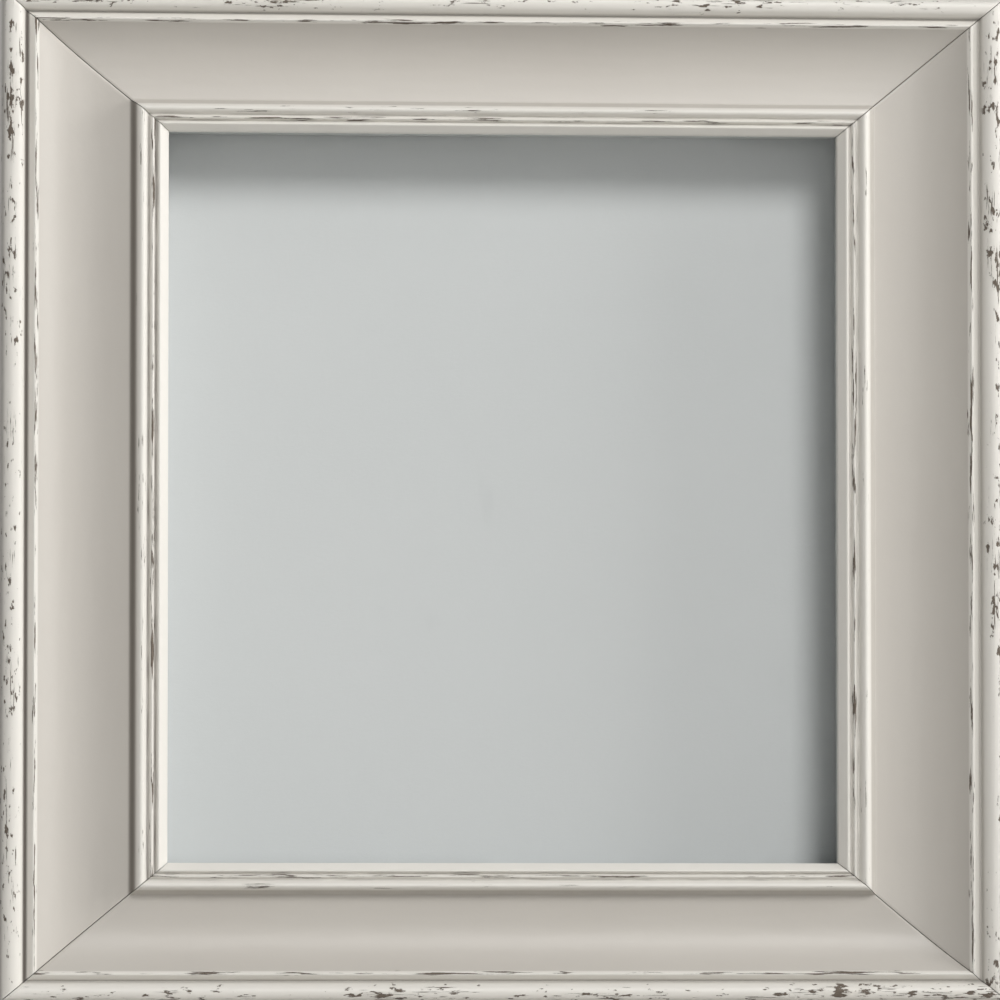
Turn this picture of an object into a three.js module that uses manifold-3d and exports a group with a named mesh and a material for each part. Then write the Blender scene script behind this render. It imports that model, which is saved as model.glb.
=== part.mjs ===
// Shadow box with a wide scooped moulding, white and distressed, around a glazed display space.
//
// Millimetres, +Z up, the glass faces -Y. The origin is under the middle of the box, on the
// edge it stands on. The four sides are made alike, so each piece is drawn once beside its
// side's outer corner and then turned into place. There, X runs across the side from its outer
// edge, Y runs back from the plane of the rim, and Z runs along the side.

import * as THREE from "three";
import { mergeVertices } from "three/addons/utils/BufferGeometryUtils.js";
import Module from "manifold-3d";

const wasm = await Module();
wasm.setup();

// ---- driving dimensions ----

const WIDTH = 400;
const HEIGHT = 400;
const SIDE_FACE = 66.8; // face width of the left and right mouldings
const RAIL_FACE = 55.2; // face width of the top and bottom mouldings
const FIT = 0.3; // play between pieces that touch
const MITRE_PLAY = 0.2; // taken off each mitred end

const MOULDING_DEPTH = 36;
const REBATE = 7; // width of the step that the glass sits in
const GLASS_SEAT = 14; // from the rim back to the front of that step
const BACK_FRAME_DEPTH = 20.7;
const BOX_DEPTH = MOULDING_DEPTH + FIT + BACK_FRAME_DEPTH;

const GLASS_THICK = 2;
const GLASS_PLAY = 1;
const LINING_THICK = 3.5;
const LINING_DEPTH = 27.4;
const BOARD_THICK = 1.5;
const PANEL_THICK = 3;
const PANEL_PLAY = 0.5;

const NAIL = { leg: 8, thick: 0.6, height: 12, stations: [0.36, 0.74] };
const TAB = { width: 8, leaf: 10, root: 6, thick: 0.6, bend: 0.45 };
const TAB_SPREAD = 75; // from the middle of a tall side to each of its tabs

const FRAME_SCREW = { head: 3.8, cone: 2.8, shank: 1.8, length: 35, point: 5 };
const SCREW_FROM_END = 55;
const STRAP_SCREW = { head: 3.2, dome: 1.7, shank: 1.5, length: 12, point: 3 };

const STRAP = { start: 15, width: 10, thick: 2, eye: 1.6, curl: 2.6, screws: [19, 29.5] };
const RING = { pivot: 46, wire: 1.25, bend: 11 };
const HANGER_HEIGHT = 290;
const BUMPER = { radius: 6, height: 5.4, inset: 22 };

const DEPTH = BOX_DEPTH + FIT + BUMPER.height;

// ---- the four sides, taken clockwise from the bottom left corner ----

const SIDES = [
  { name: "left", x: -WIDTH / 2, z: 0, turn: 0, length: HEIGHT, face: SIDE_FACE, next: RAIL_FACE },
  { name: "top", x: -WIDTH / 2, z: HEIGHT, turn: 1, length: WIDTH, face: RAIL_FACE, next: SIDE_FACE },
  { name: "right", x: WIDTH / 2, z: HEIGHT, turn: 2, length: HEIGHT, face: SIDE_FACE, next: RAIL_FACE },
  { name: "bottom", x: WIDTH / 2, z: 0, turn: 3, length: WIDTH, face: RAIL_FACE, next: SIDE_FACE },
];
const [LEFT, TOP, RIGHT, BOTTOM] = SIDES;

// Where the step's wall stands, across a side from its outer edge.
const stepWall = (face) => (face * (SIDE_FACE - REBATE)) / SIDE_FACE;

function onSide(side, geometry) {
  geometry.rotateY((side.turn * Math.PI) / 2);
  return geometry.translate(side.x, -DEPTH / 2, side.z);
}

// ---- shaping ----

function bar([x0, x1], [y0, y1], [z0, z1]) {
  const box = new THREE.BoxGeometry(x1 - x0, y1 - y0, z1 - z0);
  return box.translate((x0 + x1) / 2, (y0 + y1) / 2, (z0 + z1) / 2);
}

// A sheet with its outline across and along the side, from its rear face forwards.
function sheet(outline, rear, thick) {
  const flat = new THREE.ExtrudeGeometry(outline, { depth: thick, bevelEnabled: false, curveSegments: 8 });
  return flat.rotateX(Math.PI / 2).translate(0, rear, 0);
}

// A turned piece with its axis front to back. Points are [radius, depth], from front to rear.
function turned(points, segments = 20) {
  return new THREE.LatheGeometry(points.map(([r, d]) => new THREE.Vector2(r, d)), segments);
}

function solid(geometry) {
  const bare = new THREE.BufferGeometry();
  bare.setAttribute("position", geometry.getAttribute("position"));
  bare.setIndex(geometry.getIndex());
  const welded = mergeVertices(bare, 1e-4);
  const corners = welded.getIndex().array;
  const kept = [];
  for (let i = 0; i < corners.length; i += 3) {
    const [a, b, c] = corners.slice(i, i + 3);
    if (a !== b && b !== c && c !== a) {
      kept.push(a, b, c);
    }
  }
  return new wasm.Manifold(
    new wasm.Mesh({
      numProp: 3,
      vertProperties: new Float32Array(welded.getAttribute("position").array),
      triVerts: new Uint32Array(kept),
    }),
  );
}

function asGeometry(shape) {
  const { vertProperties, triVerts } = shape.getMesh();
  const geometry = new THREE.BufferGeometry();
  geometry.setAttribute("position", new THREE.BufferAttribute(vertProperties, 3));
  geometry.setIndex(new THREE.BufferAttribute(triVerts, 1));
  geometry.computeVertexNormals();
  return geometry;
}

const joined = (geometries) => geometries.map(solid).reduce((whole, next) => whole.add(next));

const drilled = (geometry, cutters) => asGeometry(solid(geometry).subtract(joined(cutters)));

// ---- the group ----

const shadowBox = new THREE.Group();
shadowBox.name = "shadow_box";

function add(name, geometry, color, roughness, metalness = 0) {
  const material = new THREE.MeshStandardMaterial({ name, color, roughness, metalness });
  const mesh = new THREE.Mesh(geometry, material);
  mesh.name = name;
  shadowBox.add(mesh);
}

const PAINT = 0xdcd8cf;
const RAW_PINE = 0xcdb08a;
const BOARD_BLUE = 0xc0c5c6;
const LINING_PAINT = 0xd6d6d2;
const HARDBOARD = 0x8a6546;
const STEEL = 0x9a9c9e;
const NICKEL = 0xb9b8b2;
const RUBBER = 0x35332f;

// ---- fastenings ----

// A screw with its head to the rear. With spread, it is the hole that the screw goes in.
function countersunk({ head, cone, shank, length, point }, rear, spread = 0) {
  return turned([
    [0, rear - length - spread],
    [shank + spread, rear - length + point - spread],
    [shank + spread, rear - cone],
    [head + spread, rear],
    [head + spread, rear + 3 * spread],
    [0, rear + 3 * spread],
  ]);
}

function domed({ head, dome, shank, length, point }, seat) {
  return turned([
    [0, seat - length],
    [shank, seat - length + point],
    [shank, seat],
    [head, seat],
    [head, seat + dome * 0.35],
    [head * 0.72, seat + dome * 0.85],
    [0, seat + dome],
  ]);
}

function hole({ shank, length }, rear, spread) {
  return turned([
    [0, rear - length - spread],
    [shank + spread, rear - length - spread],
    [shank + spread, rear + spread],
    [0, rear + spread],
  ]);
}

// Screws through the back frame into the moulding, two to a side.
const frameScrews = SIDES.flatMap((side) =>
  [SCREW_FROM_END, side.length - SCREW_FROM_END].map((along, i) => ({
    name: `frame_screw_${side.name}_${i + 1}`,
    cut: (spread) => {
      const screw = countersunk(FRAME_SCREW, BOX_DEPTH - FIT, spread);
      return onSide(side, screw.translate(stepWall(side.face) / 2, 0, along));
    },
  })),
);

// V-shaped nails driven into the back of each mitre, one leg in each moulding.
const vNails = SIDES.flatMap((side) =>
  NAIL.stations.map((station, i) => ({
    name: `v_nail_${side.name}_${i + 1}`,
    cut: (spread) => {
      const [x, z] = [side.face * station - spread, side.next * station - spread];
      const [leg, thick] = [NAIL.leg + 2 * spread, NAIL.thick + 2 * spread];
      const outline = new THREE.Shape();
      outline.moveTo(x, z);
      outline.lineTo(x + leg, z);
      outline.lineTo(x + leg, z + thick);
      outline.lineTo(x + thick, z + thick);
      outline.lineTo(x + thick, z + leg);
      outline.lineTo(x, z + leg);
      const nail = sheet(outline, MOULDING_DEPTH + spread, NAIL.height + 2 * spread);
      return onSide(side, nail);
    },
  })),
);

// ---- mouldings ----

// Across the face from the rim: outer bead, quirk, flat, scoop, inner bead, small ridge, lip.
function mouldingProfile(face) {
  const k = face / SIDE_FACE;
  const outline = new THREE.Shape();
  outline.moveTo(0, MOULDING_DEPTH);
  outline.lineTo(0, 6);
  outline.quadraticCurveTo(0, 0, 4.6 * k, 0);
  outline.quadraticCurveTo(8.2 * k, 0, 9.6 * k, 3.4);
  outline.lineTo(10.3 * k, 5.4);
  outline.lineTo(11.1 * k, 4.2);
  outline.lineTo(13.9 * k, 2.4);
  outline.quadraticCurveTo(24.8 * k, 12.8, 38 * k, 12.8);
  outline.quadraticCurveTo(45 * k, 12.8, 51.4 * k, 11.8);
  outline.lineTo(52.7 * k, 7.2);
  outline.quadraticCurveTo(55.4 * k, 3.9, 58.2 * k, 7);
  outline.lineTo(59.1 * k, 8.6);
  outline.lineTo(60.4 * k, 7.3);
  outline.lineTo(61.6 * k, 8.8);
  outline.lineTo(63 * k, 6.9);
  outline.lineTo(face, 10.6);
  outline.lineTo(face, GLASS_SEAT);
  outline.lineTo(stepWall(face), GLASS_SEAT);
  outline.lineTo(stepWall(face), MOULDING_DEPTH);
  return outline;
}

// Extruded along the side, then each end is slid back to the mitre.
function mitred(outline, side) {
  const length = side.length;
  const slope = side.next / side.face;
  const blank = new THREE.ExtrudeGeometry(outline, { depth: length, bevelEnabled: false, curveSegments: 10 });
  const position = blank.getAttribute("position");
  for (let i = 0; i < position.count; i += 1) {
    const back = position.getX(i) * slope + MITRE_PLAY;
    position.setZ(i, position.getZ(i) < length / 2 ? back : length - back);
  }
  return blank;
}

const mouldingCuts = [...frameScrews, ...vNails];
for (const side of SIDES) {
  const blank = onSide(side, mitred(mouldingProfile(side.face), side));
  const cutters = mouldingCuts.map((piece) => piece.cut(FIT / 2));
  add(`moulding_${side.name}`, drilled(blank, cutters), PAINT, 0.5);
}

for (const nail of vNails) {
  add(nail.name, nail.cut(0), STEEL, 0.45, 0.9);
}

// ---- glass, lining, board and back panel ----

const glassFront = GLASS_SEAT + FIT;
const liningFront = glassFront + GLASS_THICK + FIT;
const boardFront = liningFront + LINING_DEPTH + FIT;
const panelFront = boardFront + BOARD_THICK + FIT;
const tabRear = panelFront + PANEL_THICK + FIT + TAB.thick;

// A flat piece that fills the step, less play on all four edges.
function leaf(front, thick, play) {
  const x = WIDTH / 2 - stepWall(SIDE_FACE) - play;
  const z = stepWall(RAIL_FACE) + play;
  return bar([-x, x], [front, front + thick], [z, HEIGHT - z]).translate(0, -DEPTH / 2, 0);
}

add("glass", leaf(glassFront, GLASS_THICK, GLASS_PLAY), 0xe8efee, 0.05);
add("display_board", leaf(boardFront, BOARD_THICK, PANEL_PLAY), BOARD_BLUE, 0.85);
add("back_panel", leaf(panelFront, PANEL_THICK, PANEL_PLAY), HARDBOARD, 0.8);

// The tall sides' strips run the full height, and the others fit between them.
for (const side of SIDES) {
  const tall = side === LEFT || side === RIGHT;
  const outer = stepWall(side.face) + FIT;
  const end = stepWall(side.next) + FIT + (tall ? 0 : LINING_THICK + FIT);
  const across = [outer, outer + LINING_THICK];
  const strip = bar(across, [liningFront, liningFront + LINING_DEPTH], [end, side.length - end]);
  add(`lining_${side.name}`, onSide(side, strip), LINING_PAINT, 0.6);
}

// ---- tabs that hold the panel in ----

// A tab's root is driven into the back frame, and its leaf bends down over the panel.
const tabs = [
  { name: "left_low", side: LEFT, along: HEIGHT / 2 - TAB_SPREAD },
  { name: "left_high", side: LEFT, along: HEIGHT / 2 + TAB_SPREAD },
  { name: "top", side: TOP, along: WIDTH / 2 },
  { name: "right_high", side: RIGHT, along: HEIGHT / 2 - TAB_SPREAD },
  { name: "right_low", side: RIGHT, along: HEIGHT / 2 + TAB_SPREAD },
  { name: "bottom", side: BOTTOM, along: WIDTH / 2 },
];

function tabLeaf({ side, along }) {
  const start = stepWall(side.face) + TAB.bend + 0.15;
  const end = start + TAB.leaf;
  const half = TAB.width / 2;
  const outline = new THREE.Shape();
  outline.moveTo(start, along - half);
  outline.lineTo(end - half / 2, along - half);
  outline.quadraticCurveTo(end, along - half, end, along);
  outline.quadraticCurveTo(end, along + half, end - half / 2, along + half);
  outline.lineTo(start, along + half);
  return onSide(side, sheet(outline, tabRear, TAB.thick));
}

function tabRoot({ side, along }, spread) {
  const wall = stepWall(side.face);
  const half = TAB.width / 2 + spread;
  const outline = new THREE.Shape();
  outline.moveTo(wall + spread, along - half);
  outline.lineTo(wall + spread, along + half);
  outline.lineTo(wall - TAB.root / 2, along + half);
  outline.lineTo(wall - TAB.root - spread, along);
  outline.lineTo(wall - TAB.root / 2, along - half);
  return onSide(side, sheet(outline, tabRear + spread, TAB.thick + 2 * spread));
}

for (const tab of tabs) {
  add(`tab_${tab.name}`, tabLeaf(tab), STEEL, 0.4, 0.9);
  add(`tab_root_${tab.name}`, tabRoot(tab, 0), STEEL, 0.4, 0.9);
}

// ---- strap hangers with D-rings ----

const hangers = [
  { side: LEFT, along: HANGER_HEIGHT },
  { side: RIGHT, along: HEIGHT - HANGER_HEIGHT },
];
const strapFront = BOX_DEPTH + FIT;
const strapRear = strapFront + STRAP.thick;
const eyeDepth = strapFront + STRAP.curl;

// Seen along the side: a flat strap that curls into an eye around the ring's bar.
function strap(along) {
  const drop = eyeDepth - strapRear;
  const outline = new THREE.Shape();
  outline.moveTo(STRAP.start, strapFront);
  outline.lineTo(RING.pivot, strapFront);
  outline.absarc(RING.pivot, eyeDepth, STRAP.curl, -Math.PI / 2, Math.PI + Math.asin(drop / STRAP.curl));
  outline.lineTo(STRAP.start, strapRear);
  const eye = new THREE.Path();
  eye.absarc(RING.pivot, eyeDepth, STRAP.eye, 0, 2 * Math.PI);
  outline.holes.push(eye);
  const plain = { depth: STRAP.width, bevelEnabled: false, curveSegments: 12 };
  const blank = new THREE.ExtrudeGeometry(outline, plain).translate(0, 0, along - STRAP.width / 2);
  const holes = STRAP.screws.map((x) => hole(STRAP_SCREW, strapRear, FIT).translate(x, 0, along));
  return drilled(blank, holes);
}

// A half circle of wire closed by a straight bar, with round corners.
function ring() {
  const section = Array.from({ length: 13 }, (_, i) => (i * Math.PI) / 6);
  const hoop = turned(section.map((a) => [RING.bend + RING.wire * Math.cos(a), RING.wire * Math.sin(a)]), 40);
  const reach = 2 * RING.bend;
  const half = solid(hoop).intersect(solid(bar([0, reach], [-reach, reach], [-reach, reach])));
  const straight = new THREE.CylinderGeometry(RING.wire, RING.wire, 2 * RING.bend, 12).rotateX(Math.PI / 2);
  const corners = [-RING.bend, RING.bend].map((z) => new THREE.SphereGeometry(RING.wire, 12, 8).translate(0, 0, z));
  return asGeometry(half.add(joined([straight, ...corners])));
}

for (const { side, along } of hangers) {
  add(`strap_${side.name}`, onSide(side, strap(along)), NICKEL, 0.3, 0.95);
  add(`ring_${side.name}`, onSide(side, ring().translate(RING.pivot, eyeDepth, along)), NICKEL, 0.25, 0.95);
  STRAP.screws.forEach((x, i) => {
    const screw = domed(STRAP_SCREW, strapRear + FIT).translate(x, 0, along);
    add(`strap_screw_${side.name}_${i + 1}`, onSide(side, screw), STEEL, 0.35, 0.9);
  });
}

// ---- back frame: flat stock behind the mouldings, butted at the corners ----

const frameFront = MOULDING_DEPTH + FIT;
const strapScrewHoles = hangers.flatMap(({ side, along }) =>
  STRAP.screws.map((x) => onSide(side, hole(STRAP_SCREW, strapRear, FIT).translate(x, 0, along))),
);

for (const side of SIDES) {
  const tall = side === LEFT || side === RIGHT;
  const end = tall ? 0 : stepWall(side.next) + FIT;
  const blank = bar([0, stepWall(side.face)], [frameFront, BOX_DEPTH], [end, side.length - end]);
  const cutters = [
    ...frameScrews.map((screw) => screw.cut(FIT)),
    ...tabs.map((tab) => tabRoot(tab, FIT / 2)),
    ...strapScrewHoles,
  ];
  add(`back_frame_${side.name}`, drilled(onSide(side, blank), cutters), RAW_PINE, 0.75);
}

for (const screw of frameScrews) {
  add(screw.name, screw.cut(0), STEEL, 0.4, 0.9);
}

// ---- bumpers that keep the lower corners off the wall ----

for (const [name, x] of [["left", -1], ["right", 1]]) {
  const { radius, height, inset } = BUMPER;
  const bumper = turned([
    [0, strapFront],
    [radius, strapFront],
    [radius, strapFront + height * 0.4],
    [radius * 0.8, strapFront + height * 0.88],
    [radius * 0.5, strapFront + height],
    [0, strapFront + height],
  ], 28);
  add(`bumper_${name}`, bumper.translate(x * (WIDTH / 2 - inset), -DEPTH / 2, inset), RUBBER, 0.9);
}

export default shadowBox;
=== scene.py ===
import math

import bmesh
import bpy
from mathutils import Matrix, Vector, noise


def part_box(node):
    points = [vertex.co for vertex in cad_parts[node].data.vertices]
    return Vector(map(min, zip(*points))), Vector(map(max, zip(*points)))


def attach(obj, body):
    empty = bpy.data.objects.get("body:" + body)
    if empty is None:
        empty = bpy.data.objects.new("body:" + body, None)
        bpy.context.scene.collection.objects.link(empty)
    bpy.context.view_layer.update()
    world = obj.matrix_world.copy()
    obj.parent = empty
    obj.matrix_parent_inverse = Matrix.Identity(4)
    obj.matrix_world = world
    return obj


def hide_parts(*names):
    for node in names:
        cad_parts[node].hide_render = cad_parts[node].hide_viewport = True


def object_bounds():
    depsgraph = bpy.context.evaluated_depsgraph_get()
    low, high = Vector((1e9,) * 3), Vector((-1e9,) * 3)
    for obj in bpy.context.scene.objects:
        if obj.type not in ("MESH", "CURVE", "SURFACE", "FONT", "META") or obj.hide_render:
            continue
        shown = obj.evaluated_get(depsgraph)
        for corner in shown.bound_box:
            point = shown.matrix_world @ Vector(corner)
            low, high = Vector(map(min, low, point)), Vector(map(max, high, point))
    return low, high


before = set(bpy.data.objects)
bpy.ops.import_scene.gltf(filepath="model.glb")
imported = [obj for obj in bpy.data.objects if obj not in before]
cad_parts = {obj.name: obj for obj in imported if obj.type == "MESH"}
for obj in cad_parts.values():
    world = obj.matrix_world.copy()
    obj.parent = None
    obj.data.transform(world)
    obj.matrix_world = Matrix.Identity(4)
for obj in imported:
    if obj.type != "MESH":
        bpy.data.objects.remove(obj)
cad_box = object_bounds()

# --- Mouldings ---------------------------------------------------------------------------------
# Four mitred lengths of milled softwood, gessoed and painted white. The beads and edges are
# rubbed and chipped through to dark wood; the broad scoop between them is sprayed a smooth,
# warm grey.

MM = 0.001
rim_low, rear_high = cad_box
side_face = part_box("moulding_left")[1][0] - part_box("moulding_left")[0][0]
rail_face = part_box("moulding_top")[1][2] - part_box("moulding_top")[0][2]
moulding_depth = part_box("moulding_left")[1][1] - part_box("moulding_left")[0][1]
box_width = rear_high[0] - rim_low[0]
box_height = rear_high[2] - rim_low[2]
PLAY = 0.3  # round the glass and the lining, in millimetres
seat = (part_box("glass")[0][1] - rim_low[1]) / MM - PLAY
step_wall = (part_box("lining_left")[0][0] - rim_low[0]) / MM - PLAY
MITRE_GAP = 0.2 * MM
MITRE_EASE = 0.4 * MM
EASE_DEPTH = 0.12 * MM
UNEVEN = 0.05 * MM  # how far the rubbed-down face strays from true
ROW_STEP = 2 * MM
BEAD_CREST = 4.7  # across the section, in millimetres
SIDE_START = 1000  # how much further along each side's map starts than the last one's


def srgb(r, g, b):
    """A paint chip's three 0 to 255 values as the shader's linear colour."""

    def linear(value):
        value /= 255
        return value / 12.92 if value <= 0.04045 else ((value + 0.055) / 1.055) ** 2.4

    return (linear(r), linear(g), linear(b), 1)


class Wire:
    """A value on its way through a finish. Arithmetic on it adds Math nodes."""

    def __init__(self, finish, socket):
        self.finish = finish
        self.socket = socket

    def maths(self, operation, *values):
        """Adds a Math node that works on these values alone."""
        slots = dict(enumerate(values))
        return self.finish.node("ShaderNodeMath", {"operation": operation}, slots)

    def __add__(self, other):
        return self.maths("ADD", self, other)

    def __sub__(self, other):
        return self.maths("SUBTRACT", self, other)

    def __rsub__(self, other):
        return self.maths("SUBTRACT", other, self)

    def __mul__(self, other):
        return self.maths("MULTIPLY", self, other)

    def __pow__(self, other):
        return self.maths("POWER", self, other)

    __radd__ = __add__
    __rmul__ = __mul__

    def least(self, other):
        return self.maths("MINIMUM", self, other)

    def most(self, other):
        return self.maths("MAXIMUM", self, other)

    def wave(self):
        """The sine of it, from -1 to 1."""
        return self.maths("SINE", self)

    def step(self, low, high):
        """0 below low, 1 above high, and a smooth rise between."""
        sockets = {"Value": self, "From Min": low, "From Max": high}
        return self.finish.node("ShaderNodeMapRange", {"interpolation_type": "SMOOTHSTEP"}, sockets)

    def near(self, place, reach):
        """1 at a place, falling to 0 at reach either side of it."""
        return 1 - self.maths("ABSOLUTE", self - place).step(0, reach)


class Finish:
    """A material in the making."""

    def __init__(self, name):
        self.material = bpy.data.materials.new(name)
        self.material.use_nodes = True
        self.nodes = self.material.node_tree.nodes
        self.links = self.material.node_tree.links
        self.nodes.clear()

    def node(self, kind, settings=(), sockets=(), out=0):
        """Adds a node: its type, its settings, then the values or links of its sockets."""
        node = self.nodes.new(kind)
        for name, value in dict(settings).items():
            setattr(node, name, value)
        for name, value in dict(sockets).items():
            if isinstance(value, Wire):
                self.links.new(value.socket, node.inputs[name])
            else:
                node.inputs[name].default_value = value
        return Wire(self, node.outputs[out] if node.outputs else None)

    def place(self):
        """Where a point is on its own piece, in millimetres: the vector, then its three parts."""
        spot = self.node("ShaderNodeTexCoord", out="Object")
        scaled = self.node("ShaderNodeVectorMath", {"operation": "SCALE"}, {0: spot, "Scale": 1000})
        return scaled, [self.node("ShaderNodeSeparateXYZ", (), {0: scaled}, axis) for axis in "XYZ"]

    def vector(self, x=0, y=0, z=0):
        return self.node("ShaderNodeCombineXYZ", (), {"X": x, "Y": y, "Z": z})

    def grain(self, where, scale, detail=3, roughness=0.5):
        """Noise of 0 to 1, with scale features to each unit of where."""
        sockets = {"Vector": where, "Scale": scale, "Detail": detail, "Roughness": roughness}
        return self.node("ShaderNodeTexNoise", (), sockets)

    def mix(self, share, a, b):
        """Colour a where share is 0 and b where it is 1."""
        return self.node("ShaderNodeMix", {"data_type": "RGBA"}, {0: share, 6: a, 7: b}, 2)

    def bump(self, height, depth_mm):
        """Raises the surface by as much as depth_mm where height is 1."""
        sockets = {"Height": height, "Distance": depth_mm * MM, "Strength": 1}
        return self.node("ShaderNodeBump", (), sockets)

    def surface(self, colour, roughness, metallic=0.0, normal=None):
        """Finishes the material with its one shader."""
        sockets = {"Base Color": colour, "Roughness": roughness, "Metallic": metallic}
        if normal:
            sockets["Normal"] = normal
        shader = self.node("ShaderNodeBsdfPrincipled", (), sockets)
        self.node("ShaderNodeOutputMaterial", (), {"Surface": shader})
        return self.material


def distressed_paint_and_shade():
    """White satin paint, worn off along the beads, with the scoop in a warm grey, and painted shade
    on the left side in its quirk, grooves and outer edge and against its step. The map holds the
    place across the section and along the moulding, in millimetres, one side after another."""
    paint = Finish("distressed paint and painted shade")
    sheet = paint.node("ShaderNodeUVMap", {"uv_map": "section"})
    across = paint.node("ShaderNodeSeparateXYZ", (), {0: sheet}, "X")
    along = paint.node("ShaderNodeSeparateXYZ", (), {0: sheet}, "Y")

    # How readily each part of the section wears, from the outer side to the lip.
    outer_bead = across.near(3.2, 7.4)
    sharp_edge = across.near(14.2, 1.9)
    inner_bead = across.near(56, 3)
    ridge = across.near(60.5, 1.6)
    lip = across.near(63.2, 2.0)
    rear_edge = across.near(-36, 2.5)
    scoop = across.step(14.8, 15.6) - across.step(53.4, 54.2)

    patches = paint.grain(paint.vector(across * 0.06, along * 0.022), 1, 2)
    blotch = paint.grain(paint.vector(across * 0.02, along * 0.01), 1, 2)
    flecks = paint.grain(paint.vector(across * 0.42, along * 0.17), 1, 5, 0.6)
    streaks = paint.grain(paint.vector(across * 1.25, along * 0.055), 1, 5, 0.62)
    fine = paint.grain(paint.vector(across * 2.4, along * 0.6), 1, 4, 0.65)

    # Flecks out of the beads, long rubbed lines along the edges, and a scatter of pin-sized chips.
    fleck = (flecks + patches * 0.42 + outer_bead * 0.07).step(0.855, 0.9)
    fleck = fleck * outer_bead.step(0, 0.15)
    ready = (sharp_edge * 0.15).most(inner_bead * 0.035).most(ridge * 0.14)
    ready = ready.most(rear_edge * 0.1).most(outer_bead * 0.07)
    line = (streaks + ready + patches * 0.36).step(0.86, 0.9)
    edges = (outer_bead + sharp_edge + inner_bead + ridge + rear_edge).step(0.02, 0.3)
    outer_wall = 1 - across.step(-2, 0)
    chip = (fine + patches * 0.2).step(0.82, 0.85) * (edges + lip + outer_wall).least(1)
    worn = fleck.most(line * edges).most(chip * 0.8)

    # Dark wax and painted shade in the quirk, and wax in broken streaks along the two grooves. The
    # left side, whose map comes first, carries more painted shade, as a side turned away from the
    # lights: in the quirk and grooves, against the step and round its outermost edge.
    # Painted shade: picks out the left side, which is darkened as if turned away from the lights.
    left_shade = 1 - along.step(0.6 * SIDE_START, 0.7 * SIDE_START)
    quirk = across.near(10.4, 1.4) * (0.45 + left_shade * 0.45)
    grooves = across.near(58.8, 0.9).most(across.near(61.7, 0.8))
    # Painted shade round the left side's outermost edge, and a painted shadow at the foot of its
    # step.
    rim = (1 - across.step(-2, 1.6)) * left_shade * 0.4
    step_shadow = across.near(52.8, 2.1) * left_shade * 0.7
    # Wax streaks in the grooves, with painted shade added on the left side.
    in_grooves = grooves * ((streaks - 0.35) * 1.5 + left_shade * 0.35)
    wax_and_shade = quirk.most(in_grooves).most(step_shadow).most(rim)

    wood = paint.mix(fine, srgb(66, 57, 50), srgb(132, 121, 109))
    white = paint.mix(blotch, srgb(222, 219, 212), srgb(229, 226, 220))
    white = paint.mix(patches.step(0.55, 0.8) * outer_bead * 0.3, white, srgb(186, 176, 163))
    stone = paint.mix(blotch, srgb(192, 187, 180), srgb(197, 193, 186))
    # The dark wax colour here carries both the wax and the painted shade.
    aged_and_shaded = paint.mix(wax_and_shade.least(0.9), paint.mix(scoop, white, stone), srgb(82, 73, 65))
    colour = paint.mix(worn, aged_and_shaded, wood)

    orange_peel = paint.grain(paint.place()[0], 0.35, 2)
    brushed = paint.grain(paint.vector(across * 1.1, along * 0.03), 1, 3)
    height = orange_peel * 0.05 + brushed * 0.03 * edges - worn * 0.35 + fine * worn * 0.2
    roughness = 0.42 + worn * 0.4 + wax_and_shade * 0.15 + blotch * 0.06
    return paint.surface(colour, roughness, normal=paint.bump(height, 0.6))


def curve(a, pull, b, steps):
    """Points of a plain bend from a to b, drawn towards pull, without a itself."""
    a, pull, b = Vector(a), Vector(pull), Vector(b)
    shares = [i / steps for i in range(1, steps + 1)]
    return [a * (1 - t) ** 2 + pull * 2 * t * (1 - t) + b * t * t for t in shares]


def moulding_section():
    """Across the face and back from the rim: bead, quirk, flat, scoop, bead, ridge, lip, step."""
    back = moulding_depth / MM
    inner = side_face / MM
    points = [Vector((0, back)), Vector((0, back / 2)), Vector((0, 6.4))]
    points += curve(points[-1], (0, 0.25), (BEAD_CREST, 0.02), 9)
    points += curve(points[-1], (8.2, 0), (9.5, 3.2), 9)
    points += curve(points[-1], (10.3, 6), (11.1, 4.3), 6)
    points += curve(points[-1], (12.3, 3.3), (13.3, 2.5), 3)
    points += curve(points[-1], (13.9, 2.1), (14.5, 3), 5)
    points += curve(points[-1], (24.9, 12.8), (38, 12.8), 20)
    points += curve(points[-1], (45, 12.8), (51.1, 11.8), 10)
    points += curve(points[-1], (51.7, 11.7), (52, 11), 4)
    points += curve(points[-1], (52.9, 8.8), (54.1, 7), 4)
    points += curve(points[-1], (56.1, 4.2), (58, 7.2), 10)
    points += curve(points[-1], (58.8, 9), (59.6, 7.5), 5)
    points += curve(points[-1], (60.4, 6.3), (61, 7.6), 5)
    points += curve(points[-1], (61.6, 9.6), (62.3, 7.9), 4)
    points += curve(points[-1], (63, 6.7), (63.9, 7.8), 5)
    points += curve(points[-1], (65.3, 9.2), (66.3, 10.2), 4)
    points += curve(points[-1], (inner, 10.7), (inner, 11.3), 3)
    points += [Vector((inner, seat)), Vector((step_wall, seat)), Vector((step_wall, back))]
    return points


SIDES = [
    ("left", 0, (rim_low[0], rim_low[2]), box_height, side_face, rail_face),
    ("top", 1, (rim_low[0], rear_high[2]), box_width, rail_face, side_face),
    ("right", 2, (rear_high[0], rear_high[2]), box_height, side_face, rail_face),
    ("bottom", 3, (rear_high[0], rim_low[2]), box_width, rail_face, side_face),
]


def beside(turn, corner):
    """From a side's own axes (across, back, along) to the box. Sides run clockwise."""
    start = Vector((corner[0], rim_low[1], corner[1]))
    return Matrix.Translation(start) @ Matrix.Rotation(turn * math.pi / 2, 4, "Y")


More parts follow.
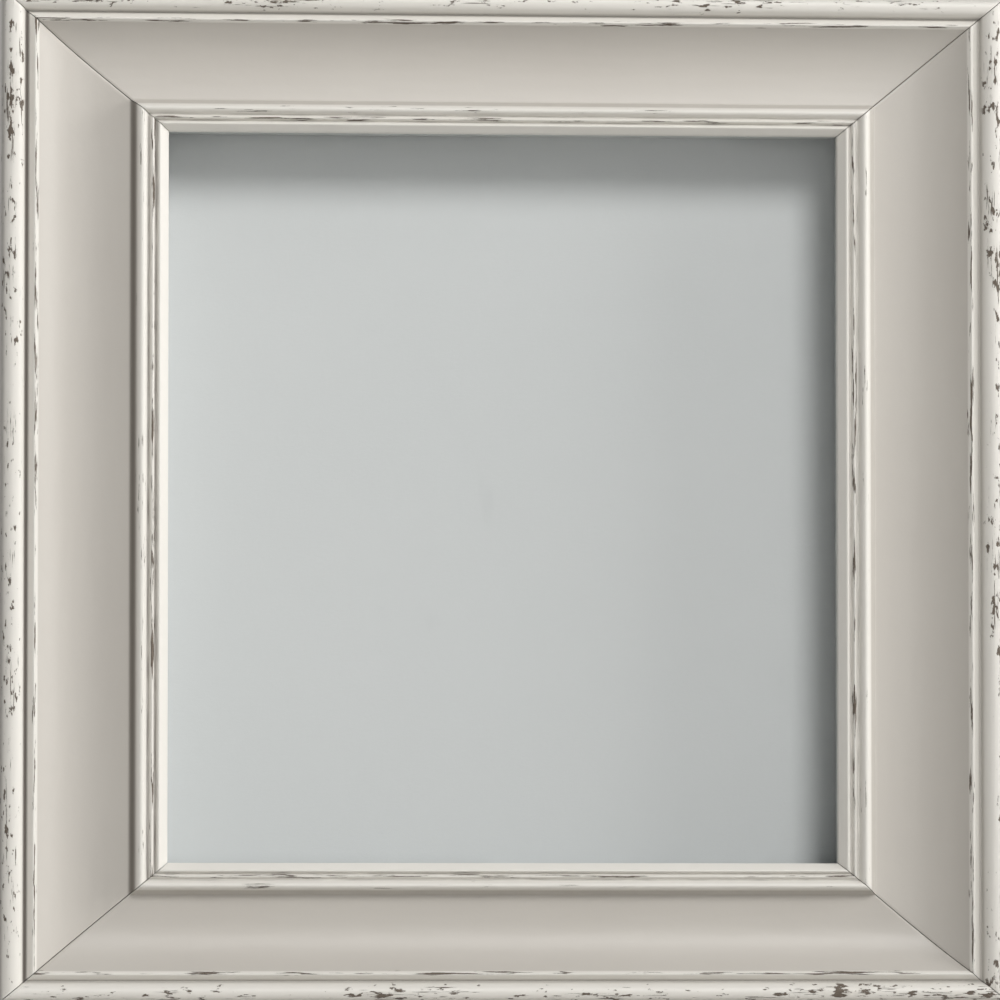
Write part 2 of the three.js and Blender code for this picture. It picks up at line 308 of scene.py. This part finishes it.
def build(name, mesh, material, body, nodes, at=Matrix(), sharp=35):
    """Makes a mesh into a piece in its place, riding on its body."""
    mesh.materials.append(material)
    mesh.shade_smooth()
    mesh.set_sharp_from_angle(angle=math.radians(sharp))
    piece = bpy.data.objects.new(name, mesh)
    bpy.context.scene.collection.objects.link(piece)
    piece.matrix_world = at
    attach(piece, body)
    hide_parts(*nodes)


def as_mesh(name, shape):
    """Closes a shape off as a mesh, with its faces all turned outwards."""
    bmesh.ops.recalc_face_normals(shape, faces=shape.faces)
    mesh = bpy.data.meshes.new(name)
    shape.to_mesh(mesh)
    shape.free()
    return mesh


def moulding(name, length, face, next_face, seed):
    """Sweeps the section along a side, with both ends on their mitres and eased a little."""
    section = moulding_section()
    narrowed = face / side_face
    slope = next_face / face
    ease = MITRE_EASE / length
    count = round(length / ROW_STEP)
    shares = [0, ease] + [i / count for i in range(1, count)] + [1 - ease, 1]
    shape = bmesh.new()
    sheet = shape.loops.layers.uv.new("section")
    rows = []
    places = {}
    for share in shares:
        at_end = share in (0, 1)
        row = []
        for point in section:
            across = point.x * narrowed * MM
            start = across * slope + MITRE_GAP
            along = start + share * (length - 2 * start)
            back = point.y * MM
            if 0 < point.x < side_face / MM and point.y < seat:
                spot = Vector((point.x * 0.3, along / MM * 0.05, seed * 7.7))
                back += UNEVEN * (1 + noise.noise(spot))
                back += EASE_DEPTH if at_end else 0
            vert = shape.verts.new((across, back, along))
            around = point.x - point.y if point.x < BEAD_CREST else point.x
            places[vert] = (around, along / MM + SIDE_START * seed)
            row.append(vert)
        rows.append(row)
    for lower, upper in zip(rows, rows[1:]):
        for i in range(len(section)):
            j = (i + 1) % len(section)
            shape.faces.new((lower[i], lower[j], upper[j], upper[i]))
    shape.faces.new(rows[0])
    shape.faces.new(rows[-1])
    for shape_face in shape.faces:
        for loop in shape_face.loops:
            loop[sheet].uv = places[loop.vert]
    return as_mesh(name, shape)


paint_finish = distressed_paint_and_shade()
for seed, (side, turn, corner, length, face, next_face) in enumerate(SIDES):
    name = f"moulding_{side}_worn"
    mesh = moulding(name, length, face, next_face, seed)
    at = beside(turn, corner)
    nodes = [f"moulding_{side}"]
    build(name, mesh, paint_finish, "case", nodes, at, sharp=40)

# --- V-nails -----------------------------------------------------------------------------------
# Two bent strips of spring steel in the back of each mitre, pressed in flush with a leg in each
# moulding. They pull the mitre shut while its glue sets.


def loft(name, rows, looped=False):
    """A skin over rings of points, capped at both ends unless it closes on itself."""
    shape = bmesh.new()
    rings = [[shape.verts.new(point) for point in row] for row in rows]
    pairs = zip(rings, rings[1:] + rings[:1]) if looped else zip(rings, rings[1:])
    for lower, upper in pairs:
        for i, corner in enumerate(lower):
            j = (i + 1) % len(lower)
            shape.faces.new((corner, lower[j], upper[j], upper[i]))
    if not looped:
        shape.faces.new(rings[0])
        shape.faces.new(rings[-1])
    return as_mesh(name, shape)


def strip(name, path, half_widths, breadth, thick):
    """Flat metal strip bent along a path, with its edges dulled. Breadth is the unit direction
    across the strip."""
    rows = []
    for i, point in enumerate(path):
        onward = (path[min(i + 1, len(path) - 1)] - path[max(i - 1, 0)]).normalized()
        out = onward.cross(breadth)
        wide, deep = half_widths[i], thick / 2
        dulled = min(deep * 0.5, wide * 0.5)
        corners = [(wide, deep - dulled), (wide - dulled, deep), (dulled - wide, deep)]
        corners += [(-wide, deep - dulled)]
        corners += [(-side_way, -out_way) for side_way, out_way in corners]
        rows.append([point + breadth * a + out * b for a, b in corners])
    return loft(name, rows)


def own_box(node, at):
    """A CAD piece's lowest and highest corners, in its side's own axes."""
    ends = [at.inverted() @ Vector(end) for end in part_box(node)]
    return Vector(map(min, *ends)), Vector(map(max, *ends))


def metal(name, shade, tarnish, roughness, scratch=0.25):
    """Plated or rolled metal with drawn lines, fine scratches and a few dull spots."""
    finish = Finish(name)
    where, (x, y, z) = finish.place()
    drawn = finish.grain(finish.vector(x * 3, y * 3, z * 0.3), 1, 4, 0.6)
    scratches = finish.grain(finish.vector(x * 0.5, y * 7, z * 7), 1, 3, 0.7).step(0.6, 0.68)
    spots = finish.grain(where, 0.7, 4, 0.6).step(0.56, 0.72)
    colour = finish.mix(spots * 0.7 + drawn * 0.15, shade, tarnish)
    rough = roughness + drawn * 0.12 + scratches * scratch * 0.5 + spots * 0.2
    height = drawn * 0.5 - scratches * scratch + spots * 0.2
    return finish.surface(colour, rough, 1.0, finish.bump(height, 0.06))


spring_steel = metal("spring steel", srgb(168, 169, 170), srgb(108, 104, 100), roughness=0.3)
CORNERS = {side: beside(turn, corner) for side, turn, corner, *_ in SIDES}
NAIL_THICK = 0.6 * MM
NAIL_BEND = 1.2 * MM
for side, at in CORNERS.items():
    for i in (1, 2):
        node = f"v_nail_{side}_{i}"
        low, high = own_box(node, at)
        x, z = low.x + NAIL_THICK / 2, low.z + NAIL_THICK / 2
        level = (low.y + high.y) / 2
        bent = curve((x + NAIL_BEND, z), (x, z), (x, z + NAIL_BEND), 6)
        legs = [Vector((high.x, z)), Vector((x + NAIL_BEND, z)), *bent, Vector((x, high.z))]
        path = [Vector((point.x, level, point.y)) for point in legs]
        half_widths = [(high.y - low.y) / 2] * len(path)
        mesh = strip(node + "_pressed", path, half_widths, Vector((0, 1, 0)), NAIL_THICK)
        build(node + "_pressed", mesh, spring_steel, "case", [node], at)

# --- Glass -------------------------------------------------------------------------------------
# One sheet of 2 mm clear float glass, cut to size with its sharp edges rubbed down. It lies in
# the mouldings' step and is held forward by the lining.


def slab(name, low, high, arris, spacing, bow=0.0):
    """A flat piece with eased edges, bowed and rippled by as much as bow."""

    def spread(start, end):
        count = max(1, round((end - start) / spacing))
        return [start + (end - start) * i / count for i in range(count + 1)]

    across = spread(low.x + arris, high.x - arris)
    rows = []
    for z in [low.z, *spread(low.z + arris, high.z - arris), high.z]:
        drawn = 0.7 * arris if z in (low.z, high.z) else 0
        ring = [(x, low.y + drawn) for x in across]
        ring += [(high.x - drawn, low.y + arris), (high.x - drawn, high.y - arris)]
        ring += [(x, high.y - drawn) for x in reversed(across)]
        ring += [(low.x + drawn, high.y - arris), (low.x + drawn, low.y + arris)]
        ripple = [bow * noise.noise(Vector((x, z, 0)) / MM * 0.012) for x, y in ring]
        rows.append([Vector((x, y + lift, z)) for (x, y), lift in zip(ring, ripple)])
    return loft(name, rows)


def clear_glass():
    """See-through but for its gloss, with wiping marks and a little dust in the gloss."""
    glass = Finish("clear glass")
    where, (x, y, z) = glass.place()
    wiped = glass.grain(glass.vector(x * 0.02 + z * 0.01, y, z * 0.12), 1, 4, 0.6)
    dust = glass.grain(where, 1.7, 2, 0.5).step(0.68, 0.74)
    gloss = {"Color": srgb(250, 252, 252), "Roughness": 0.03 + wiped * 0.03 + dust * 0.25}
    shine = glass.node("ShaderNodeBsdfAnisotropic", (), gloss)
    through = glass.node("ShaderNodeBsdfTransparent", (), {"Color": (0.985, 0.99, 0.988, 1)})
    facing = glass.node("ShaderNodeFresnel", (), {"IOR": 1.5})
    share = (facing * 0.16 + dust * 0.02).least(1)
    surface = glass.node("ShaderNodeMixShader", (), {0: share, 1: through, 2: shine})
    glass.node("ShaderNodeOutputMaterial", (), {"Surface": surface})
    return glass.material


FACES_TRUE = 20  # degrees; a wider angle would let the eased edges dish the flat faces
low, high = map(Vector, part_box("glass"))
pane = slab("glass_pane", low, high, arris=0.35 * MM, spacing=40 * MM)
build("glass_pane", pane, clear_glass(), "case", ["glass"], sharp=FACES_TRUE)

# --- Lining ------------------------------------------------------------------------------------
# Four planed strips inside the step, painted a flat pale grey before they go in. They press on
# the glass in front and keep the board well back from it; the tall pair runs full height.


def flat_paint():
    """Brushed flat paint, with a few dry nibs standing in it."""
    paint = Finish("lining paint")
    where, (x, y, z) = paint.place()
    brush = paint.grain(paint.vector(x * 2, y * 2, z * 0.05), 1, 4, 0.6)
    nib = paint.grain(where, 1.2, 2).step(0.66, 0.74)
    cloudy = paint.grain(where, 0.03, 3)
    colour = paint.mix(cloudy, srgb(196, 198, 197), srgb(206, 207, 205))
    colour = paint.mix(nib * 0.3, colour, srgb(150, 148, 143))
    return paint.surface(colour, 0.6 + brush * 0.15, normal=paint.bump(brush + nib * 0.6, 0.08))


lining_paint = flat_paint()
for side, at in CORNERS.items():
    node = f"lining_{side}"
    low, high = own_box(node, at)
    mesh = slab(node + "_strip", low, high, arris=0.5 * MM, spacing=15 * MM, bow=0.06 * MM)
    build(node + "_strip", mesh, lining_paint, "case", [node], at)

# --- Display board -----------------------------------------------------------------------------
# Mount board in pale blue-grey, 1.5 mm thick with a cream core, knife cut to drop in against
# the lining. Things are pinned or glued to its front.


def mount_board(front):
    """Front is where the faced side lies, in millimetres."""
    board = Finish("mount board")
    where, (x, y, z) = board.place()
    fibre = board.grain(where, 3.5, 3, 0.6)
    felt = board.grain(board.vector(x * 0.5, y, z * 0.8), 1, 4, 0.55)
    cloudy = board.grain(where, 0.006, 2)
    handled = board.grain(board.vector(x * 0.09, y, z * 0.028), 1, 3, 0.6).step(0.66, 0.76)
    speck = board.grain(where, 0.55, 1).step(0.79, 0.82)
    blue = board.mix(cloudy, srgb(212, 214, 215), srgb(218, 219, 220))
    blue = board.mix(fibre * 0.2, blue, srgb(203, 206, 208))
    blue = board.mix(handled * 0.06 + speck * 0.35, blue, srgb(142, 148, 150))
    core = board.mix(fibre, srgb(226, 221, 206), srgb(208, 202, 186))
    colour = board.mix(y.step(front + 0.25, front + 0.35), blue, core)
    roughness = 0.78 + felt * 0.12 - handled * 0.1
    return board.surface(colour, roughness, normal=board.bump(fibre * 0.6 + felt, 0.05))


BOW = 0.1 * MM
low, high = map(Vector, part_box("display_board"))
low.y, high.y = low.y + BOW, high.y - BOW
sheet = slab("display_board_cut", low, high, arris=0.12 * MM, spacing=10 * MM, bow=BOW)
board_finish = mount_board(low.y / MM)
build("display_board_cut", sheet, board_finish, "back", ["display_board"])

# --- Back panel --------------------------------------------------------------------------------
# Standard hardboard, 3 mm. Its smooth side goes to the board; the rear shows the mesh it was
# pressed on, and its sawn edges are furry.


SCREEN_PITCH = 1.3  # from wire to wire of the screen, in millimetres


def hardboard(rear):
    """Rear is where the meshed side lies, in millimetres."""
    fibres = Finish("hardboard")
    where, (x, y, z) = fibres.place()
    turn = 2 * math.pi / SCREEN_PITCH
    screen = (x * turn).wave() * (z * turn).wave() * y.step(rear - 0.4, rear - 0.2)
    chips = fibres.grain(fibres.vector(x * 1.2, y, z * 0.8), 1, 5, 0.7)
    cloudy = fibres.grain(where, 0.012, 3)
    rubbed = fibres.grain(fibres.vector(x * 0.02, y, z * 0.2), 1, 4, 0.65).step(0.6, 0.75)
    colour = fibres.mix(chips, srgb(112, 78, 50), srgb(158, 116, 78))
    colour = fibres.mix(cloudy * 0.5, colour, srgb(128, 92, 62))
    colour = fibres.mix(rubbed * 0.12, colour, srgb(182, 150, 116))
    height = screen * 0.5 + chips * 0.6 - rubbed * 0.2
    return fibres.surface(colour, 0.66 + chips * 0.25, normal=fibres.bump(height, 0.12))


low, high = map(Vector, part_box("back_panel"))
low.y, high.y = low.y + BOW, high.y - BOW
panel = slab("back_panel_sawn", low, high, arris=0.25 * MM, spacing=12 * MM, bow=BOW)
build("back_panel_sawn", panel, hardboard(high.y / MM), "back", ["back_panel"])

# --- Back frame --------------------------------------------------------------------------------
# Four lengths of planed pine behind the mouldings, butted at the corners. The maker's white
# paint covers their outer faces and has crept over onto the bare rear.


RING_SPACING = 3.1  # one year's growth, in millimetres
HEART_DEPTH = 96  # how far behind the front face the middle of the tree was
HEARTS = {"left": 71, "top": 18, "right": 46, "bottom": 92}
HEAD_ROOM = 0.25 * MM
HOLE = 2.1 * MM
SCREW_CONE = 2.8 * MM
SLOT_ROOM = Vector((0.4, 0.15, 0.25)) * MM


def roots_in(side):
    """The names of the tab roots that are driven into a side."""
    return [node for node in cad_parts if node.startswith("tab_root_" + side)]


def cut(mesh, *cutters):
    """The mesh with each cutter taken out of it."""
    shapes = [bpy.data.objects.new(part.name, part) for part in (mesh, *cutters)]
    for shape in shapes:
        bpy.context.scene.collection.objects.link(shape)
    for cutter in shapes[1:]:
        modifier = shapes[0].modifiers.new("cut", "BOOLEAN")
        modifier.operation = "DIFFERENCE"
        modifier.object = cutter
    shaped = shapes[0].evaluated_get(bpy.context.evaluated_depsgraph_get())
    result = bpy.data.meshes.new_from_object(shaped)
    for shape in shapes:
        bpy.data.objects.remove(shape)
    return result


def lathe(name, centre, profile, points=32):
    """A turned piece with its axis front to back. The profile is (radius, depth) from centre."""
    turns = [2 * math.pi * i / points for i in range(points)]
    rows = []
    for radius, depth in profile:
        ring = [(math.cos(turn) * radius, depth, math.sin(turn) * radius) for turn in turns]
        rows.append([centre + Vector(spot) for spot in ring])
    return loft(name, rows)


def pine(name, length, ends_painted, heart):
    """Straight-grained pine, its growth rings cut by the faces; white on the outer faces. Heart
    is how far across from the outer face the middle of the tree was."""
    wood = Finish(name)
    where, (x, y, z) = wood.place()
    waver = wood.grain(wood.vector(x * 0.03, y * 0.03, z * 0.004), 1, 2) * 9
    heart_x, heart_y = x - heart + waver, y - HEART_DEPTH
    radius = (heart_x * heart_x + heart_y * heart_y) ** 0.5
    ring = (radius * (2 * math.pi / RING_SPACING)).wave() * 0.5 + 0.5
    late = ring ** 3
    pores = wood.grain(wood.vector(x * 3, y * 3, z * 0.12), 1, 4, 0.65)
    cloudy = wood.grain(wood.vector(x * 0.03, y * 0.03, z * 0.01), 1, 3)
    bare = wood.mix(cloudy, srgb(222, 196, 153), srgb(210, 178, 132))
    bare = wood.mix(late * 0.4 + pores * 0.2, bare, srgb(166, 117, 70))
    ragged = wood.grain(wood.vector(x * 0.3, y * 0.3, z * 0.08), 1, 5, 0.65) * 7
    from_edge = x.least(z).least(length - z) if ends_painted else x
    painted = 1 - (from_edge - ragged + 1.5).step(0, 0.5)
    chip = wood.grain(wood.vector(x, y * 0.6, z * 0.16), 1, 5, 0.66).step(0.63, 0.66)
    brushed = wood.grain(wood.vector(x, y, z * 0.05), 1, 3)
    white = wood.mix(brushed, srgb(221, 218, 210), srgb(229, 226, 219))
    white = wood.mix(chip * 0.8, white, srgb(122, 106, 88))
    colour = wood.mix(painted, bare, white)
    height = late * 0.3 + pores * 0.4 + painted * (1 - chip) * 0.6 + brushed * painted * 0.2
    roughness = 0.72 + pores * 0.12 - painted * (1 - chip) * 0.25
    return wood.surface(colour, roughness, normal=wood.bump(height, 0.15))


for side, at in CORNERS.items():
    node = f"back_frame_{side}"
    low, high = own_box(node, at)
    mesh = slab(node + "_planed", low, high, arris=0.7 * MM, spacing=12 * MM, bow=0.05 * MM)
    cutters = []
    for i in (1, 2):
        head_low, head_high = own_box(f"frame_screw_{side}_{i}", at)
        centre = (head_low + head_high) / 2
        centre.y = head_high.y
        reach = (head_high.x - head_low.x) / 2 + HEAD_ROOM
        sink = [(HOLE, -3 * SCREW_CONE), (HOLE, -SCREW_CONE), (reach, 0), (reach, 1 * MM)]
        cutters.append(lathe(f"countersink_{i}", centre, sink))
    for root in roots_in(side):
        root_low, root_high = own_box(root, at)
        low, high = root_low - SLOT_ROOM, root_high + SLOT_ROOM
        cutters.append(slab("tab_slot", low, high, arris=0.05 * MM, spacing=1))
    mesh = cut(mesh, *cutters)
    tall = side in ("left", "right")
    wood = pine("pine, " + side, box_height / MM if tall else 0, tall, HEARTS[side])
    build(node + "_planed", mesh, wood, "case", [node], at)

# --- Frame screws ------------------------------------------------------------------------------
# Eight zinc-plated wood screws with countersunk cross heads, driven through the back frame into
# the mouldings.

SHANK = 1.8 * MM
THREAD_PITCH = 1.6 * MM
RECESS = 2.0 * MM
RECESS_DEPTH = 1.9 * MM


def cross(name, centre, reach, deep):
    """The bit that a cross recess is cut with, its point to the front."""

    def plus(size, depth):
        arm = size * 0.28
        quarter = [(size, -arm), (size, arm), (arm, arm)]
        ring = []
        for turn in range(4):
            for x, z in quarter:
                for _ in range(turn):
                    x, z = -z, x
                ring.append(centre + Vector((x, depth, z)))
        return ring

    return loft(name, [plus(reach * 0.35, -deep), plus(reach, 0), plus(reach, 1 * MM)])


def thread(start, end, shank, shallow):
    """A shank's profile, with a raised edge at each turn of its thread."""
    profile = []
    for i in range(int((end - start) / THREAD_PITCH)):
        depth = start + i * THREAD_PITCH
        tip = min(1, (i + 1) * 0.3)
        root = (shank - shallow) * tip
        crest = shank * tip
        profile += [(root, depth), (root, depth + 0.55 * THREAD_PITCH)]
        profile += [(crest, depth + 0.75 * THREAD_PITCH)]
    return profile


zinc = metal("zinc plate", srgb(176, 176, 172), srgb(128, 124, 112), roughness=0.28)
for side, at in CORNERS.items():
    for i in (1, 2):
        node = f"frame_screw_{side}_{i}"
        low, high = own_box(node, at)
        centre = (low + high) / 2
        centre.y = high.y
        head = (high.x - low.x) / 2
        length = high.y - low.y
        profile = [(0.2 * MM, -length)]
        profile += thread(0.6 * MM - length, -0.4 * length, SHANK, 0.5 * MM)
        profile += [(0.75 * SHANK, -0.38 * length), (0.75 * SHANK, -SCREW_CONE)]
        profile += [(head, -0.25 * MM), (head - 0.1 * MM, -0.05 * MM), (head - 0.3 * MM, 0)]
        mesh = lathe(node + "_turned", centre, profile)
        mesh = cut(mesh, cross("recess", centre, RECESS, RECESS_DEPTH))
        build(node + "_turned", mesh, zinc, "case", [node], at)

# --- Tabs --------------------------------------------------------------------------------------
# Six soft steel tabs shot into the inner faces of the back frame. Each is bent up to free the
# panel and pressed down again to hold it.

TAB_THICK = 0.5 * MM
TAB_TIP = 5 * MM
TAB_STATIONS = 24
CREASE = 0.08 * MM
for side, at in CORNERS.items():
    for root in roots_in(side):
        node = root.replace("tab_root_", "tab_")
        low, high = own_box(node, at)
        half = (high.z - low.z) / 2
        middle_z = (low.z + high.z) / 2
        level = (low.y + high.y) / 2
        path = []
        half_widths = []
        for i in range(TAB_STATIONS + 1):
            share = i / TAB_STATIONS
            x = low.x + share * (high.x - low.x - 0.05 * MM)
            crease = CREASE * math.sin(2 * math.pi * share)
            to_tip = (high.x - x) / TAB_TIP
            path.append(Vector((x, level + crease, middle_z)))
            half_widths.append(half * math.sqrt(max(0.0004, 1 - max(0, 1 - to_tip) ** 2)))
        mesh = strip(node + "_leaf", path, half_widths, Vector((0, 0, 1)), TAB_THICK)
        build(node + "_leaf", mesh, spring_steel, node, [node], at)

        low, high = own_box(root, at)
        level = (low.y + high.y) / 2
        stations = [(high.x, 1), (low.x + (high.x - low.x) * 0.5, 1), (low.x, 0.05)]
        path = [Vector((x, level, middle_z)) for x, _ in stations]
        half_widths = [half * wide for _, wide in stations]
        mesh = strip(root + "_driven", path, half_widths, Vector((0, 0, 1)), TAB_THICK)
        build(root + "_driven", mesh, spring_steel, "case", [root], at)

# --- Strap hangers -----------------------------------------------------------------------------
# Two nickel-plated strap hangers, each one strip folded double round the bar of a bent wire
# D-ring, held by two round-head screws. The rings hang the box on a wall.


def rod(name, path, radius, square, sides=16):
    """Round wire bent to a closed path in the plane that square stands on."""
    turns = [2 * math.pi * i / sides for i in range(sides)]
    rows = []
    for i, point in enumerate(path):
        onward = (path[(i + 1) % len(path)] - path[i - 1]).normalized()
        out = onward.cross(square)
        ring = [square * math.sin(turn) + out * math.cos(turn) for turn in turns]
        rows.append([point + spoke * radius for spoke in ring])
    return loft(name, rows, looped=True)


nickel = metal(
    "nickel plate", srgb(205, 202, 192), srgb(150, 142, 122), roughness=0.16, scratch=0.15
)
FOLD_THICK = 0.9 * MM
FLAT_STEP = 0.5 * MM
EYE_ROOM = 3.4 * MM
STRAP_END = 5 * MM
WIRE = 1.25 * MM
ROUND = 2.2 * MM
BOW_START = 0.985  # of the ring's reach: where its half circle takes over
DOME = 1.7 * MM
STRAP_SHANK = 1.5 * MM
for side in ("left", "right"):
    at = CORNERS[side]
    node = f"strap_{side}"
    ring_low, ring_high = own_box(f"ring_{side}", at)
    low, high = own_box(node, at)
    half = (high.z - low.z) / 2
    middle_z = (low.z + high.z) / 2
    pivot_x = ring_low.x + WIRE
    pivot_y = (ring_low.y + ring_high.y) / 2
    seat_y = low.y + FOLD_THICK / 2
    over_y = low.y + 1.55 * FOLD_THICK
    eye = high.x - pivot_x - FOLD_THICK / 2
    count = int((pivot_x - EYE_ROOM - low.x) / FLAT_STEP)
    flat = [low.x + i * FLAT_STEP for i in range(count)]
    path = [Vector((x, seat_y, middle_z)) for x in flat]
    path += [Vector((pivot_x - 1 * MM, seat_y, middle_z))]
    sweep = [math.radians(-90 + 10 * i) for i in range(27)]
    path += [
        Vector((pivot_x + eye * math.cos(a), pivot_y + eye * math.sin(a), middle_z)) for a in sweep
    ]
    path += [Vector((x, over_y, middle_z)) for x in reversed(flat)]
    half_widths = []
    for point in path:
        to_end = min(1, (point.x - low.x + 0.15 * MM) / STRAP_END)
        half_widths.append(half * math.sqrt(1 - (1 - to_end) ** 2))
    mesh = strip(node + "_folded", path, half_widths, Vector((0, 0, 1)), FOLD_THICK)
    build(node + "_folded", mesh, nickel, "case", [node], at)

    # The wire: a straight bar in the eye, a round corner at each end, and a half circle.
    reach = (ring_high.z - ring_low.z) / 2 - WIRE
    bow_x = ring_high.x - WIRE - pivot_x
    outline = curve((0, ROUND - reach), (0, -reach), (ROUND, -reach * BOW_START), 6)
    bends = [math.radians(-78 + 6 * i) for i in range(27)]
    outline += [Vector((bow_x * math.cos(a), reach * math.sin(a))) for a in bends]
    outline += [Vector((ROUND, reach * BOW_START))]
    outline += curve(outline[-1], (0, reach), (0, reach - ROUND), 6)
    outline += [Vector((0, (reach - ROUND) * (1 - i / 5))) for i in range(1, 10)]
    path = [Vector((pivot_x + x, pivot_y, middle_z + z)) for x, z in outline]
    name = f"ring_{side}_bent"
    mesh = rod(name, path, WIRE, Vector((0, 1, 0)))
    build(name, mesh, nickel, f"ring_{side}", [f"ring_{side}"], at)

    for i in (1, 2):
        node = f"strap_screw_{side}_{i}"
        screw_low, screw_high = own_box(node, at)
        centre = (screw_low + screw_high) / 2
        centre.y = screw_high.y
        head = (screw_high.x - screw_low.x) / 2
        length = screw_high.y - screw_low.y
        profile = [(0.2 * MM, -length)]
        profile += thread(0.5 * MM - length, -DOME - 2 * MM, STRAP_SHANK, 0.4 * MM)
        profile += [(0.75 * STRAP_SHANK, -DOME - 1 * MM), (0.75 * STRAP_SHANK, -DOME)]
        profile += [(head - 0.2 * MM, -DOME)]
        arc = [math.radians(8 + 10 * k) for k in range(8)]
        profile += [(head * math.cos(a), DOME * (math.sin(a) - 1)) for a in arc]
        mesh = lathe(node + "_turned", centre, profile)
        mesh = cut(mesh, cross("recess", centre, 1.6 * MM, 1.5 * MM))
        build(node + "_turned", mesh, zinc, "case", [node], at)

# --- Bumpers -----------------------------------------------------------------------------------
# Two moulded rubber bumpers, stuck on at the lower rear corners with a thin adhesive pad, so
# that the box hangs level and clear of the wall.


def rubber():
    """Black rubber with a dull skin, greyed by dust."""
    bumper = Finish("soft rubber")
    where, _ = bumper.place()
    skin = bumper.grain(where, 4, 3, 0.6)
    dust = bumper.grain(where, 0.5, 4, 0.65).step(0.5, 0.72)
    colour = bumper.mix(dust * 0.5, srgb(52, 50, 47), srgb(112, 108, 102))
    return bumper.surface(colour, 0.7 + skin * 0.2, normal=bumper.bump(skin + dust * 0.3, 0.05))


PAD_THICK = 0.6 * MM
rubber_finish = rubber()
for side in ("left", "right"):
    node = f"bumper_{side}"
    low, high = map(Vector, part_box(node))
    foot = (low + high) / 2
    foot.y = low.y
    radius = (high.x - low.x) / 2
    height = high.y - low.y
    profile = [(radius * 0.94, 0), (radius * 0.94, PAD_THICK), (radius * 0.985, PAD_THICK)]
    profile += [(radius, PAD_THICK + 0.2 * MM), (radius, height * 0.4)]
    for k in range(1, 10):
        turn = math.radians(9 * k)
        narrowed = radius * (0.5 + 0.5 * math.cos(turn))
        profile += [(narrowed, height * (0.4 + 0.6 * math.sin(turn)))]
    mesh = lathe(node + "_moulded", foot, profile, points=40)
    build(node + "_moulded", mesh, rubber_finish, "case", [node])

# --- Floor, light and camera -------------------------------------------------------------------
# A pale seamless floor. A soft key light stands high in front and to the right, a second one
# rakes across from the right, a weak one fills in from the front and one lights the rear.

FLOOR_SIZE = 24
FLOOR_GAP = 0.5 * MM
floor_mesh = bpy.data.meshes.new("floor")
half = FLOOR_SIZE / 2
floor_mesh.from_pydata(
    [(-half, -half, 0), (half, -half, 0), (half, half, 0), (-half, half, 0)], [], [(0, 1, 2, 3)]
)
floor_finish = Finish("floor")
floor_speck = floor_finish.grain(floor_finish.place()[0], 0.05, 3)
floor_tone = floor_finish.mix(floor_speck, (0.60, 0.59, 0.57, 1), (0.64, 0.63, 0.61, 1))
floor_mesh.materials.append(floor_finish.surface(floor_tone, 0.7))
floor = bpy.data.objects.new("floor", floor_mesh)
floor.location.z = rim_low[2] - FLOOR_GAP
bpy.context.scene.collection.objects.link(floor)
middle = Vector((0, rim_low[1], box_height / 2))


def soft_light(name, direction, away, size, watts, tint=(1, 1, 1), in_gloss=True):
    """A round soft box aimed at the middle of the rim, with its distance and its width in
    metres. In_gloss is whether shiny surfaces mirror it."""
    lamp = bpy.data.lights.new(name, "AREA")
    lamp.shape = "DISK"
    lamp.size = size
    lamp.energy = watts
    lamp.color = tint
    light = bpy.data.objects.new(name, lamp)
    from_aim = Vector(direction).normalized()
    light.location = middle + from_aim * away
    light.rotation_euler = (-from_aim).to_track_quat("-Z", "Y").to_euler()
    light.visible_glossy = in_gloss
    bpy.context.scene.collection.objects.link(light)


soft_light("key", (0.28, -1, 0.66), away=4.5, size=1.6, watts=112, tint=(1, 0.99, 0.975))
soft_light("side", (3.3, -1, 1.0), away=4.5, size=2.0, watts=110, tint=(1, 0.99, 0.97))
soft_light("front", (0.1, -1, 0.2), away=4.5, size=1.9, watts=16, in_gloss=False)
soft_light("rear", (-0.7, 1, 0.7), away=4.0, size=2.0, watts=110)

world = bpy.data.worlds.new("room")
world.use_nodes = True
world.node_tree.nodes["Background"].inputs["Color"].default_value = (0.93, 0.96, 1, 1)
world.node_tree.nodes["Background"].inputs["Strength"].default_value = 0.06
bpy.context.scene.world = world
bpy.context.scene.view_settings.view_transform = "Standard"

CAMERA_AZIMUTH = -5
CAMERA_ELEVATION = -3
LENS = 300
SENSOR = 36
VIEW_WIDTH = 0.3953  # as much of the rim's plane as the picture is wide
AIM_ASIDE = Vector((-0.0025, 0, -0.0015))
camera_data = bpy.data.cameras.new("camera")
camera_data.lens = LENS
camera_data.sensor_width = SENSOR
camera_data.clip_end = 50
camera = bpy.data.objects.new("camera", camera_data)
bpy.context.scene.collection.objects.link(camera)
azimuth = math.radians(CAMERA_AZIMUTH)
elevation = math.radians(CAMERA_ELEVATION)
across = math.sin(azimuth) * math.cos(elevation)
forward = -math.cos(azimuth) * math.cos(elevation)
outward = Vector((across, forward, math.sin(elevation)))
aim = middle + AIM_ASIDE
camera.location = aim + outward * VIEW_WIDTH * LENS / SENSOR
camera.rotation_euler = (-outward).to_track_quat("-Z", "Y").to_euler()
bpy.context.scene.camera = camera
